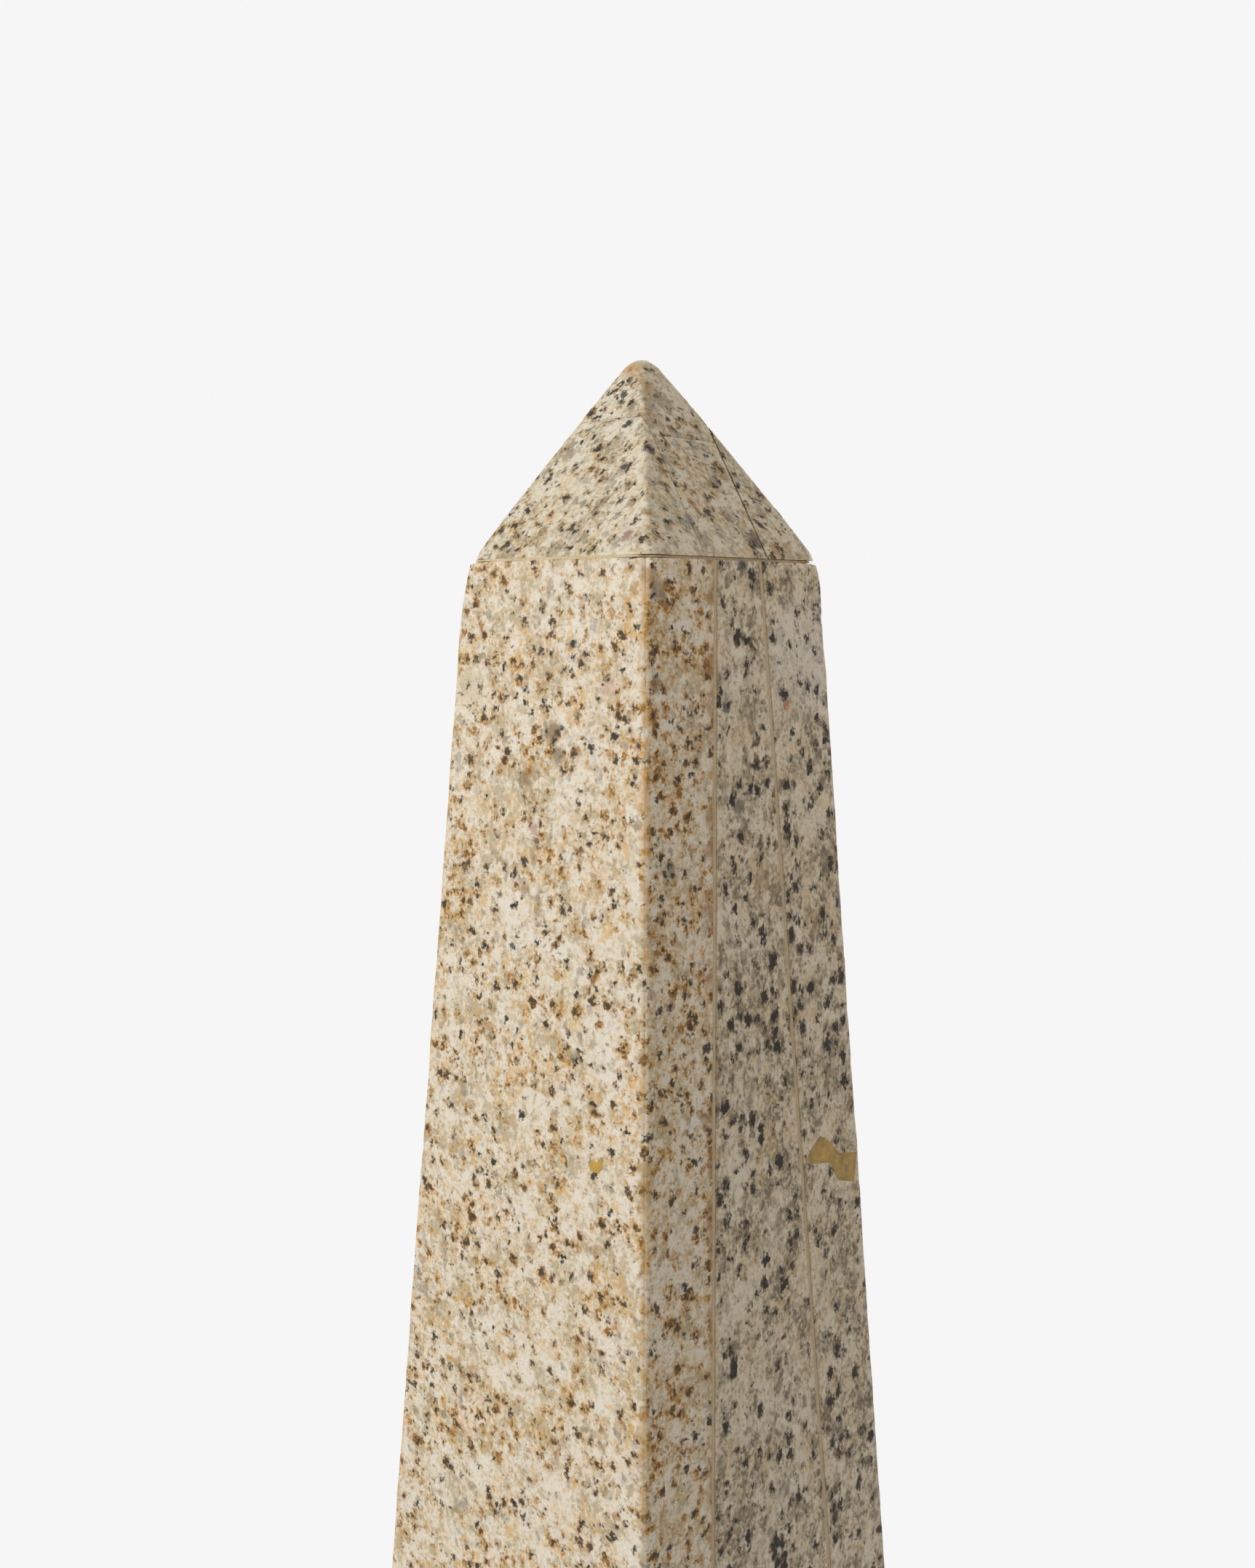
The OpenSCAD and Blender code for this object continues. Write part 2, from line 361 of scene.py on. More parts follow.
# %% Books and flakes of mica
MICA_LAYERS = ["book", "book", "flake"]
LAYER_SHIFT_MM = 91.0
MICA_DISORDER = 0.85
SHARE_FADE = 0.15


def mica(tree, look, field):
    """For each layer: how deep a point lies in its nearest mica, how dark that mica is, and its luck."""
    layers = []
    for layer, key in enumerate(MICA_LAYERS):
        gap, (smallest, largest) = look[key + "_gap_mm"], look[key + "_r_mm"]
        apart = add(tree, "VectorMath", {0: field["bent"], 1: (layer * LAYER_SHIFT_MM,) * 3},
                    operation="ADD")
        cells = add(tree, "TexVoronoi", {"Vector": apart, "Scale": 1 / gap, "Randomness": MICA_DISORDER})
        luck = add(tree, "SeparateColor", {0: cells.outputs["Color"]}).outputs
        size = add(tree, "Math", {0: luck[1], 1: look["few_large"]}, operation="POWER")
        reach = add(tree, "MapRange", {"Value": size, "To Min": smallest, "To Max": largest})
        reach = add(tree, "Math", {0: reach, 1: field["ragged"]}, operation="ADD")
        depth = add(tree, "Math", {0: cells.outputs["Distance"], 1: -gap, 2: reach},
                    operation="MULTIPLY_ADD")
        kept = field["crowd"]
        for operation, other in [("MULTIPLY", look[key + "_share"]), ("SUBTRACT", luck[0]),
                                 ("MULTIPLY", look[key + "_dark"] / SHARE_FADE)]:
            kept = add(tree, "Math", {0: kept, 1: other}, operation=operation)
        kept = add(tree, "Clamp", {"Value": kept, "Max": look[key + "_dark"]})
        layers.append((depth, kept, luck[2]))
    return layers


print("mica layers:", MICA_LAYERS)

# %% Rust round the books
RING_REACH = {"ochre": 1.8, "rust": 0.8}
RING_FULL_MM = 1.9


def rusted(tree, look, field, colour, books):
    """The stone with rust that has crept out of the books: ochre at its rim, brown beside the mica."""
    for tint, reach in RING_REACH.items():
        strongest = 0.0
        for depth, kept, luck in books:
            ring = add(tree, "Math", {0: field["creep"], 1: depth}, operation="ADD")
            ring = add(tree, "MapRange",
                       {"Value": ring, "From Min": -look["creep_mm"] * reach, "From Max": RING_FULL_MM,
                        "To Max": look["rusty"]}, **SMOOTH)
            for share in (kept, luck, field["crowd"]):
                ring = add(tree, "Math", {0: ring, 1: share}, operation="MULTIPLY")
            strongest = add(tree, "Math", {0: ring, 1: strongest}, operation="MAXIMUM")
        colour = add(tree, "Mix", {"Factor": strongest, "A": colour, "B": linear(look[tint])},
                     data_type="RGBA")
    return colour


print("rust reaches", RING_REACH, "times as far as it creeps")

# %% The mica's own colour
MICA_RIM_MM = {"From Min": -1.0, "From Max": 1.5}
SPECK_NOISE = {"Detail": 2.0, "Roughness": 0.7}
MOST_SPECK = {"From Min": 0.25, "From Max": 0.75}


def darkened(tree, look, field, colour, layers):
    """The stone with its mica and the fine shading inside every grain, and how much of it is mica."""
    dark = 0.0
    for depth, kept, luck in layers:
        core = add(tree, "MapRange", {"Value": depth, **MICA_RIM_MM}, **SMOOTH)
        brown = add(tree, "MapRange", {"Value": luck, "To Min": 1.0, "To Max": look["browned"]})
        for share in (kept, brown):
            core = add(tree, "Math", {0: core, 1: share}, operation="MULTIPLY")
        dark = add(tree, "Math", {0: core, 1: dark}, operation="MAXIMUM")
    black = add(tree, "Mix",
                {"Factor": field["fray"][2], "A": linear(look["mica"]), "B": linear(look["flake"])},
                data_type="RGBA")
    colour = add(tree, "Mix", {"Factor": dark, "A": colour, "B": black}, data_type="RGBA")
    speck = add(tree, "TexNoise", {"Vector": field["mm"], "Scale": 1 / look["speck_mm"], **SPECK_NOISE})
    speck = add(tree, "MapRange",
                {"Value": speck.outputs[0], **MOST_SPECK, "To Min": 1 - look["speck"],
                 "To Max": 1 + look["speck"]})
    colour = add(tree, "Mix", {"Factor": 1.0, "A": colour, "B": speck}, data_type="RGBA",
                 blend_type="MULTIPLY")
    return colour, dark


print("mica darkens over", MICA_RIM_MM["From Max"] - MICA_RIM_MM["From Min"], "mm")

# %% [markdown]
# ### Single marks
#
# Knots and stains that stand out on this one object are set singly, each as a ragged spot at its own
# place on the front or the right face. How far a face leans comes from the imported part, so a mark stays
# on the stone.

# %% Where a mark lies on the stone
cap_low, cap_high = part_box("cap_front_slab")
cap_foot = cap_low.z
cap_half = cap_high.x
cap_slope = (cap_high.y - cap_low.y) / (cap_high.z - cap_foot)
apex_z = cap_foot + cap_half / cap_slope
batter = (cad_high.x - bed_high.x) / bed_low.z


def on_face(face, across, rise):
    """A point on the front or right face, in mm: so far right of its middle line and above the bed."""
    height = bed_z / MM + rise
    if rise < 0:
        half = cad_high.x / MM - batter * height
    else:
        half = (apex_z / MM - height) * cap_slope
    return (across, -half, height) if face == "front" else (half, across, height)


print("the shaft leans in by", round(batter, 4), "and the cap by", round(cap_slope, 4))

# %% Knots and stains
MARK_WANDER = 0.6
MARK_RIM = 1.25
MARK_CORE = 0.5


def marked(tree, look, field, colour):
    """The stone with its single knots and stains, each a ragged spot round its own centre."""
    wander = add(tree, "Math", {0: field["creep"], 1: MARK_WANDER, 2: field["ragged"]},
                 operation="MULTIPLY_ADD")
    spots = [(face, *mark) for face, marks in look["marks"].items() for mark in marks]
    for face, across, rise, radius, tint, share in spots:
        away = add(tree, "VectorMath", {0: field["here"], 1: on_face(face, across, rise)},
                   operation="DISTANCE")
        away = add(tree, "Math", {0: away.outputs["Value"], 1: wander}, operation="ADD")
        spot = add(tree, "MapRange",
                   {"Value": away, "From Min": radius * MARK_RIM, "From Max": radius * MARK_CORE,
                    "To Max": share}, **SMOOTH)
        colour = add(tree, "Mix", {"Factor": spot, "A": colour, "B": linear(tint)}, data_type="RGBA")
    return colour


print("a mark fades out at", MARK_RIM, "times its radius")

# %% [markdown]
# ### Weather and polish
#
# The worn corner is stained warm, rust has seeped out beside the joint, and mortar has smeared over the
# stone there. Each piece stores how near its points are to a corner and to a joint, and the stone reads
# that. Its polish has worn to a satin, which gives the faces a broad, soft sheen, and the mica stands a
# hair low.

# %% Stains of the weather
MORTAR = "#cdb793"
SEEPED_RUST = "#a06c38"
GATHER = 2.0
RUBBED = {"From Min": 0.2, "From Max": 0.7}
SEEPED = {"From Min": 0.3, "From Max": 0.75}
TOUCHING = {"From Min": 0.8, "From Max": 1.0}
SMEARED = {"From Min": 1.7, "From Max": 2.1, "To Max": 0.7}


def weathered(tree, look, field, colour):
    """The stone with a warm stain on its worn corner, and rust and smeared mortar beside a joint."""
    corner, joint = [add(tree, "Attribute", attribute_name=key).outputs["Fac"]
                     for key in ("arris", "joint")]
    patch = add(tree, "Math", {0: field["drift"][0], 1: GATHER, 2: field["cloud"][1]},
                operation="MULTIPLY_ADD")
    patch = add(tree, "Math", {0: patch, 1: 1.0}, operation="SUBTRACT")
    rubbed = add(tree, "Math", {0: patch, 1: corner}, operation="MULTIPLY")
    rubbed = add(tree, "MapRange", {"Value": rubbed, **RUBBED, "To Max": look["rubbed"]})
    seep = add(tree, "Math", {0: patch, 1: joint}, operation="MULTIPLY")
    seep = add(tree, "MapRange", {"Value": seep, **SEEPED, "To Max": look["seep"]}, **SMOOTH)
    touching = add(tree, "MapRange", {"Value": joint, **TOUCHING})
    smear = add(tree, "Math", {0: field["cloud"][2], 1: GATHER, 2: touching}, operation="MULTIPLY_ADD")
    smear = add(tree, "MapRange", {"Value": smear, **SMEARED}, **SMOOTH)
    for tint, share in [(look["ochre"], rubbed), (SEEPED_RUST, seep), (MORTAR, smear)]:
        colour = add(tree, "Mix", {"Factor": share, "A": colour, "B": linear(tint)}, data_type="RGBA")
    return colour


print("seeped rust is", SEEPED_RUST, "and smeared mortar is", MORTAR)

# %% The whole stone
SATIN = {"To Min": 0.42, "To Max": 0.58}
GRAIN_RELIEF = 0.3
MICA_LOW = 0.2 * MM


def granite(name, look):
    """A worn, polished granite. Lengths in look are millimetres, and shares are parts of one."""
    material, tree = blank_material(name)
    field = stone_fields(tree, look)
    layers = mica(tree, look, field)
    colour = pale_ground(tree, look, field)
    colour = rusted(tree, look, field, colour, layers[:2])
    colour = marked(tree, look, field, colour)
    colour, dark = darkened(tree, look, field, colour, layers)
    colour = weathered(tree, look, field, colour)
    satin = add(tree, "MapRange", {"Value": field["cloud"][0], **MOST_NOISE, **SATIN})
    relief = add(tree, "Math", {0: field["fray"][1], 1: GRAIN_RELIEF, 2: dark}, operation="MULTIPLY_ADD")
    bump = add(tree, "Bump", {"Height": relief, "Strength": 0.04, "Distance": MICA_LOW}, invert=True)
    stone = add(tree, "BsdfPrincipled",
                {"Base Color": colour, "Roughness": satin, "IOR": 1.5, "Specular IOR Level": 0.25,
                 "Normal": bump})
    add(tree, "OutputMaterial", {"Surface": stone})
    print(name, "has", len(tree.nodes), "nodes")
    return material


# %% [markdown]
# The stones came from three blocks. The front slab is warm, with strong rust. The back slab and the
# panels are greyer, with more and larger mica in upright streaks. The cap is finer, and its streaks run
# on a slant. The front slab's values come first, and the other two say only where they differ. A mark is
# given, under its face, by its place across that face and above the bed, its radius, tint and strength.

# %% Three granites
WARM = {
    "grey": "#cbbb9b", "cream": "#f1e3c8", "white": "#f6ecda", "amber": "#e6b667", "ochre": "#dcaa5d",
    "rust": "#997141", "smoky": "#92826a", "mica": "#171916", "flake": "#3b3730",
    "streak": (0.0, 0.0, 0.0),
    "bend_mm": 5.0, "grain_mm": 3.0, "cloud_mm": 6.5, "fray_mm": 2.1, "drift_mm": 26.0,
    "crystal_mm": 6.5, "grainy": 0.5, "slow": 0.27, "grey_to": 0.14, "cream_from": 0.46,
    "cream_to": 0.42, "white_from": 0.7, "few_large": 1.0, "stain": 0.66, "quartz_from": 0.55, "quartz": 0.8,
    "ragged_mm": 4.4, "book_gap_mm": 8.6, "book_r_mm": (-0.3, 3.1), "book_share": 0.92,
    "book_dark": 1.0, "flake_gap_mm": 4.0, "flake_r_mm": (-0.3, 1.2), "flake_share": 0.8,
    "flake_dark": 0.58, "browned": 0.85, "edge_mica": 0.5, "edge_stain": 0.4, "creep_mm": 2.8,
    "rusty": 1.0, "speck_mm": 0.8, "speck": 0.14, "rubbed": 0.6, "seep": 0.7,
    "marks": {
        "front": [
            (9, -105, 8.0, "#96805f", 0.9), (15, -120, 6.5, "#9c8c70", 0.9),
            (-15, -136, 6.5, "#957851", 0.85), (-5, -166, 4.5, "#b58e7a", 0.7),
            (-1, -173, 2.8, "#80524a", 0.9), (54, -77, 7.0, "#d3ad95", 0.6),
            (-68, -80, 12.0, "#e4d5b5", 0.85), (68, -40, 4.0, "#e0b56c", 0.7),
            (23, -52, 4.4, "#7d6540", 0.8)],
        "right": [
            (-72, -20, 7.5, "#85694c", 0.65), (-79, -11, 5.5, "#9a7a52", 0.65),
            (-71, -183, 5.0, "#998d7f", 0.85), (-77, -74, 5.0, "#7c5c38", 0.85),
            (-52, -173, 4.0, "#a9713a", 0.8)],
    },
}
GREY = dict(
    WARM, grey="#8c7e68", cream="#e7d5b8", white="#f4e7d1", amber="#e4c490", ochre="#ac987a",
    rust="#6e604f", smoky="#6f6454", mica="#12100c", flake="#2b261e", streak=(0.0, 0.0, 0.45),
    grain_mm=2.6, slow=0.2, grey_to=0.12, cream_from=0.45, cream_to=0.48, white_from=0.72,
    few_large=1.8, stain=0.6, quartz_from=0.54, book_gap_mm=8.4, book_r_mm=(-0.5, 4.2), book_share=0.95,
    flake_share=1.0, flake_dark=0.65, browned=0.95, rusty=1.1, edge_mica=0.0, edge_stain=1.0,
    rubbed=0.2, seep=0.0,
    marks={
        "right": [
            (60, -60, 40.0, "#f3e8d8", 0.5), (3, -4, 5.5, "#33363a", 0.9), (20, -4, 4.0, "#46474a", 0.85),
            (-15, -83, 3.5, "#34363a", 0.9), (-15, -90, 4.0, "#4c4a4a", 0.85),
            (-7, -151, 6.0, "#6a635a", 0.8), (41, -90, 3.2, "#c07a3c", 0.9),
            (93, -220, 6.0, "#9d9286", 0.85)],
    },
)
CAP = dict(
    WARM, grey="#b3a78f", cream="#e3d6ba", white="#ebe1cb", amber="#d9b170", ochre="#cda86c",
    rust="#7d6744", smoky="#80766a", mica="#12100c", flake="#2b261f", streak=(0.38, -0.38, 0.46),
    stain=0.45, quartz_from=0.52, book_gap_mm=7.4, book_r_mm=(-0.4, 2.8), flake_share=0.9,
    flake_dark=0.65, browned=0.95, rusty=0.9, edge_mica=0.0, edge_stain=1.45, rubbed=0.15, seep=0.0,
    marks={
        "front": [
            (-18, 26, 5.5, "#dfba8c", 0.7), (56, 13, 4.5, "#9a7263", 0.8), (3, 104, 2.8, "#1c1d1f", 0.9),
            (3, 99, 2.6, "#1c1d1f", 0.9), (17, 84, 3.0, "#222326", 0.9), (30, 56, 3.0, "#222326", 0.85),
            (0, 121, 7.0, "#c2924f", 0.6)],
        "right": [
            (-37, 66, 3.6, "#222326", 0.9), (24, 12, 6.5, "#5f4c37", 0.85),
            (-30, 23, 4.2, "#8b8379", 0.85), (41, 7, 5.0, "#b08244", 0.8)],
    },
)
warm_granite = granite("warm_granite_worn_polish", WARM)
grey_granite = granite("grey_granite_worn_polish", GREY)
cap_granite = granite("cap_granite_worn_polish", CAP)

# %% [markdown]
# ## Mortar and resin
#
# The joints are a lime and sand mortar, struck nearly flush: matt, beige, with grains of sand that
# show as a fine speckle. The bed under the cap is a light beige, and its tones are painted paler
# than the upright joints': a painted light that lifts the shade in its narrow groove. One function
# makes both. The two fills are a knife-grade polyester resin, ochre and satin, with the faint
# clouds of a hand-mixed batch. The one on the slab's edge has also taken up soil.

# %% Sand mortar
SAND_MM = 1.2
DAMP_MM = 22
GRITTY = {"From Min": 0.6, "From Max": 1.0, "To Max": 0.45}
SAND_RELIEF = 0.3 * MM


def sand_mortar(name, damp_tone, dry_tone, grit_tone):
    """A matt sand mortar in three tones: damp patches, dry patches and single dark grains."""
    material, tree = blank_material(name)
    mm = millimetres(tree)
    sand = add(tree, "TexVoronoi", {"Vector": mm, "Scale": 1 / SAND_MM})
    speckle = add(tree, "SeparateColor", {0: sand.outputs["Color"]})
    damp = add(tree, "TexNoise", {"Vector": mm, "Scale": 1 / DAMP_MM, "Detail": 5.0, "Roughness": 0.6})
    tone = add(tree, "Mix",
               {"Factor": damp.outputs[0], "A": linear(damp_tone), "B": linear(dry_tone)}, data_type="RGBA")
    grit = add(tree, "MapRange", {"Value": speckle.outputs[0], **GRITTY})
    tone = add(tree, "Mix", {"Factor": grit, "A": tone, "B": linear(grit_tone)}, data_type="RGBA")
    rough = add(tree, "Bump", {"Height": speckle.outputs[1], "Strength": 0.5, "Distance": SAND_RELIEF})
    body = add(tree, "BsdfPrincipled", {"Base Color": tone, "Roughness": 0.9, "Normal": rough})
    add(tree, "OutputMaterial", {"Surface": body})
    print(name, "with grains of", SAND_MM, "mm")
    return material


joint_mortar = sand_mortar("weathered_sand_mortar", "#c8b088", "#e4d2b0", "#ae9772")
# Painted light: the bed's tones are paler than the joints' to lift the shade in its narrow groove under the
# cap
bed_mortar = sand_mortar("pale_sand_mortar_painted_light", "#d2bd95", "#ead9b8", "#b49d76")

# %% Repair resin
STIR_MM = 7
SOIL_MM = 9
CLEAN_TO_MM, SOILED_FROM_MM = 40, 90
SOILED = {"From Min": 0.34, "From Max": 0.62, "To Min": 0.2, "To Max": 0.8}
DARK_STIR, PALE_STIR, SOIL = linear("#c8962e"), linear("#ecc04e"), linear("#69572f")
RESIN_SATIN = {"To Min": 0.3, "To Max": 0.5}

repair_resin, tree = blank_material("ochre_repair_resin")
mm = millimetres(tree)
stir = add(tree, "TexNoise",
           {"Vector": mm, "Scale": 1 / STIR_MM, "Detail": 4.0, "Roughness": 0.6, "Distortion": 1.2})
tone = add(tree, "Mix", {"Factor": stir.outputs[0], "A": DARK_STIR, "B": PALE_STIR}, data_type="RGBA")
soil = add(tree, "TexNoise", {"Vector": mm, "Scale": 1 / SOIL_MM, "Detail": 4.0, "Roughness": 0.65})
soil = add(tree, "MapRange", {"Value": soil.outputs[0], **SOILED})
across = add(tree, "SeparateXYZ", {0: mm})
outside = add(tree, "MapRange",
              {"Value": across.outputs["X"], "From Min": CLEAN_TO_MM, "From Max": SOILED_FROM_MM})
soil = add(tree, "Math", {0: soil, 1: outside}, operation="MULTIPLY")
tone = add(tree, "Mix", {"Factor": soil, "A": tone, "B": SOIL}, data_type="RGBA")
gloss = add(tree, "MapRange", {"Value": stir.outputs[0], **RESIN_SATIN})
body = add(tree, "BsdfPrincipled", {"Base Color": tone, "Roughness": gloss, "IOR": 1.55})
add(tree, "OutputMaterial", {"Surface": body})
print("resin:", repair_resin.name)

# %% [markdown]
# ## Worn blocks for the shaft
#
# Every piece of the shaft is the same form: a block whose section changes evenly from its foot to its
# top. A bevel would round it evenly, as a machine does, but weather doesn't: it rounds the outer
# corners unevenly, opens small nicks in them and wears them back most beneath the cap. So a Geometry
# Nodes tree bends a grid of points into the block. It moves each point that is nearer to an edge than
# the edge's radius onto a rounded corner, and lets noise vary that radius along the corner.

# %% What a worn block is told
BLOCK_INPUTS = {
    "Vector": ["Foot Low", "Foot High", "Top Low", "Top High", "Rows", "Piece Shift"],
    "Float": ["Front Worn", "Back Worn", "Edge Radius", "Arris Radius", "Shoulder Radius",
              "Shoulder Height", "Nick Depth", "Roughness", "Seed"],
    "Material": ["Stone"],
}

block = bpy.data.node_groups.new("worn_block", "GeometryNodeTree")
for kind, names in BLOCK_INPUTS.items():
    for name in names:
        block.interface.new_socket(name, in_out="INPUT", socket_type="NodeSocket" + kind)
block.interface.new_socket("Block", in_out="OUTPUT", socket_type="NodeSocketGeometry")
sockets = {s.name: s.identifier for s in block.interface.items_tree if s.in_out == "INPUT"}
given = add(block, "NodeGroupInput").outputs
print("worn_block inputs:", len(sockets))

# %% A cube of points from -1 to 1, drawn towards its edges so that the rounding has points to bend
ROW_CROWDING = (2.2, 2.0, 1.25)

rows = add(block, "SeparateXYZ", {0: given["Rows"]}).outputs
grid = add(block, "GeometryNodeMeshCube",
           {"Size": (2, 2, 2), "Vertices X": rows[0], "Vertices Y": rows[1], "Vertices Z": rows[2]})
cube = add(block, "GeometryNodeInputPosition")
side = add(block, "VectorMath", {0: cube}, operation="SIGN")
inward = add(block, "VectorMath",
             {0: (1, 1, 1), 1: add(block, "VectorMath", {0: cube}, operation="ABSOLUTE")},
             operation="SUBTRACT")
inward = add(block, "VectorMath", {0: inward, 1: (0, 0, 0)}, operation="MAXIMUM")
inward = add(block, "VectorMath", {0: inward, 1: ROW_CROWDING}, operation="POWER")
spread = add(block, "VectorMath", {0: (1, 1, 1), 1: inward}, operation="SUBTRACT")
spread = add(block, "VectorMath", {0: spread, 1: side}, operation="MULTIPLY")
axis = add(block, "SeparateXYZ", {0: spread}).outputs
print("points crowd towards the edges by powers of", ROW_CROWDING)

# %% The block's section at each height, and each point's sharp place on it
rise = add(block, "MapRange", {"Value": axis[2], "From Min": -1.0, "From Max": 1.0})
low, high = [
    add(block, "Mix", {"Factor": rise, "A": given["Foot " + end], "B": given["Top " + end]},
        data_type="VECTOR") for end in ("Low", "High")]
middle = add(block, "Mix", {"Factor": 0.5, "A": low, "B": high}, data_type="VECTOR")
half = add(block, "VectorMath", {0: high, 1: middle}, operation="SUBTRACT")
sharp = add(block, "VectorMath", {0: half, 1: spread, 2: middle}, operation="MULTIPLY_ADD")
tall = add(block, "VectorMath", {0: given["Top Low"], 1: given["Foot Low"]}, operation="SUBTRACT")
tall = add(block, "VectorMath", {0: tall, 1: (0, 0, 0.5)}, operation="MULTIPLY")
half = add(block, "VectorMath", {0: half, 1: tall}, operation="ADD")
margin = add(block, "VectorMath", {0: half, 1: inward}, operation="MULTIPLY")
away = add(block, "SeparateXYZ", {0: margin}).outputs
print("worn_block tree so far:", len(block.nodes), "nodes")

# %% How near each point lies to an outer corner, from 0 to 1
ARRIS_ZONE = 25 * MM

front = add(block, "MapRange",
            {"Value": axis[1], "From Min": -1.0, "From Max": 0.0, "To Min": given["Front Worn"],
             "To Max": 0.0})
outer = add(block, "MapRange",
            {"Value": axis[1], "From Min": 0.0, "From Max": 1.0, "To Min": front,
             "To Max": given["Back Worn"]})
farthest = add(block, "Math", {0: away[0], 1: away[1]}, operation="MAXIMUM")
near = add(block, "MapRange",
           {"Value": farthest, "From Min": 0.0, "From Max": ARRIS_ZONE, "To Min": 1.0, "To Max": 0.0})
near = add(block, "Math", {0: near, 1: outer}, operation="MULTIPLY")
print("a corner's wear reaches", round(ARRIS_ZONE / MM), "mm")

# %% The corner's radius, which waves along it, opens in nicks and grows beneath the cap
WAVE_MM = 38
NICK_MM = 9
WAVING = {"From Min": 0.25, "From Max": 0.75, "To Min": 0.65, "To Max": 1.35}
NICKED = {"From Min": 0.58, "From Max": 0.75}
SHOULDER_CURVE = 1.6

lot = add(block, "CombineXYZ", {"X": given["Seed"], "Y": given["Seed"]})
mm = add(block, "VectorMath", {0: sharp, 1: (1 / MM,) * 3, 2: lot}, operation="MULTIPLY_ADD")
wave = add(block, "TexNoise", {"Vector": mm, "Scale": 1 / WAVE_MM, "Detail": 3.0})
wave = add(block, "MapRange", {"Value": wave.outputs[0], **WAVING})
eased = add(block, "Math", {0: given["Arris Radius"], 1: wave}, operation="MULTIPLY")
nick = add(block, "TexNoise", {"Vector": mm, "Scale": 1 / NICK_MM, "Detail": 2.0})
nick = add(block, "MapRange", {"Value": nick.outputs[0], **NICKED}, **SMOOTH)
eased = add(block, "Math", {0: nick, 1: given["Nick Depth"], 2: eased}, operation="MULTIPLY_ADD")
below = add(block, "Math", {0: away[2], 1: given["Shoulder Height"]}, operation="DIVIDE", use_clamp=True)
upper = add(block, "Math", {0: axis[2], 1: 0.0}, operation="GREATER_THAN")
shoulder = add(block, "Math", {0: 1.0, 1: below}, operation="SUBTRACT")
shoulder = add(block, "Math", {0: shoulder, 1: SHOULDER_CURVE}, operation="POWER")
shoulder = add(block, "Math", {0: shoulder, 1: upper}, operation="MULTIPLY")
eased = add(block, "Math", {0: shoulder, 1: given["Shoulder Radius"], 2: eased}, operation="MULTIPLY_ADD")
gain = add(block, "Math", {0: eased, 1: given["Edge Radius"]}, operation="SUBTRACT")
radius = add(block, "Math", {0: gain, 1: near, 2: given["Edge Radius"]}, operation="MULTIPLY_ADD")
radii = add(block, "CombineXYZ", {"X": radius, "Y": radius, "Z": given["Edge Radius"]})
print("a corner waves about every", WAVE_MM, "mm and has nicks of about", NICK_MM, "mm")

# %% Move each point from its sharp place onto the rounded edge
COARSE_MM = 14

dip = radii
for operation, other in [("SUBTRACT", margin), ("MAXIMUM", (0, 0, 0)),
                         ("DIVIDE", radii), ("MULTIPLY", side)]:
    dip = add(block, "VectorMath", {0: dip, 1: other}, operation=operation)
facing = add(block, "VectorMath", {0: dip}, operation="NORMALIZE")
cut = add(block, "VectorMath", {0: facing, 1: dip}, operation="SUBTRACT")
place = add(block, "VectorMath", {0: cut, 1: radii, 2: sharp}, operation="MULTIPLY_ADD")
coarse = add(block, "TexNoise", {"Vector": mm, "Scale": 1 / COARSE_MM, "Detail": 4.0})
coarse = add(block, "MapRange", {"Value": coarse.outputs[0], "To Min": -1.0, "To Max": 1.0})
coarse = add(block, "Math", {0: coarse, 1: given["Roughness"]}, operation="MULTIPLY")
lift = add(block, "VectorMath", {0: facing, "Scale": coarse}, operation="SCALE")
place = add(block, "VectorMath", {0: place, 1: lift}, operation="ADD")
print("worn_block tree so far:", len(block.nodes), "nodes")

# %% What the granite reads: the worn corner, the edge beside a joint, and the piece's own shift
ARRIS_STAIN = 9 * MM
JOINT_REACH = 20 * MM
WORN_FROM = 0.01

stain = add(block, "MapRange",
            {"Value": farthest, "From Min": 0.0, "From Max": ARRIS_STAIN, "To Min": 1.0, "To Max": 0.0})
stain = add(block, "Math", {0: stain, 1: outer}, operation="MULTIPLY")
inner = add(block, "Math", {0: WORN_FROM, 1: outer}, operation="GREATER_THAN")
beside = add(block, "MapRange",
             {"Value": away[1], "From Min": 0.0, "From Max": JOINT_REACH, "To Min": 1.0, "To Max": 0.0})
beside = add(block, "Math", {0: beside, 1: inner}, operation="MULTIPLY")
shaped = grid.outputs["Mesh"]
for attribute, value, kind in [("arris", stain, "FLOAT"), ("joint", beside, "FLOAT"),
                               ("piece_shift", given["Piece Shift"], "FLOAT_VECTOR")]:
    shaped = add(block, "GeometryNodeStoreNamedAttribute",
                 {"Geometry": shaped, "Name": attribute, "Value": value}, data_type=kind)
shaped = add(block, "GeometryNodeSetPosition", {"Geometry": shaped, "Position": place})
shaped = add(block, "GeometryNodeSetShadeSmooth", {"Geometry": shaped, "Shade Smooth": True})
shaped = add(block, "GeometryNodeRealizeInstances", {"Geometry": shaped})
shaped = add(block, "GeometryNodeSetMaterial", {"Geometry": shaped, "Material": given["Stone"]})
add(block, "NodeGroupOutput", {"Block": shaped})
print("worn_block tree:", len(block.nodes), "nodes")

# %% [markdown]
# The tree takes each piece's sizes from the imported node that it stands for, so nothing is fitted by
# hand. The rounded meshes are made plain before they join the frame.

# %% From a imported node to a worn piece
LEVEL_WITHIN = 0.01 * MM


def sections(node):
    """The corners of a node's section at its foot and at its top: foot low and high, top low and high."""
    points = np.array([v.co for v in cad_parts[node].data.vertices])
    heights = points[:, 2]
    found = []
    for level in (heights.min(), heights.max()):
        ring = points[np.abs(heights - level) < LEVEL_WITHIN]
        found += [ring.min(0), ring.max(0)]
    return [Vector(corner) for corner in found]


def plain_piece(name, mesh, node):
    """An object that stands for a CAD node, which it hides. It hangs under the root body and takes its
    finish from its mesh's material.
    """
    piece = new_object(name, mesh)
    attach(piece, "root")
    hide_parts(node)
    return piece


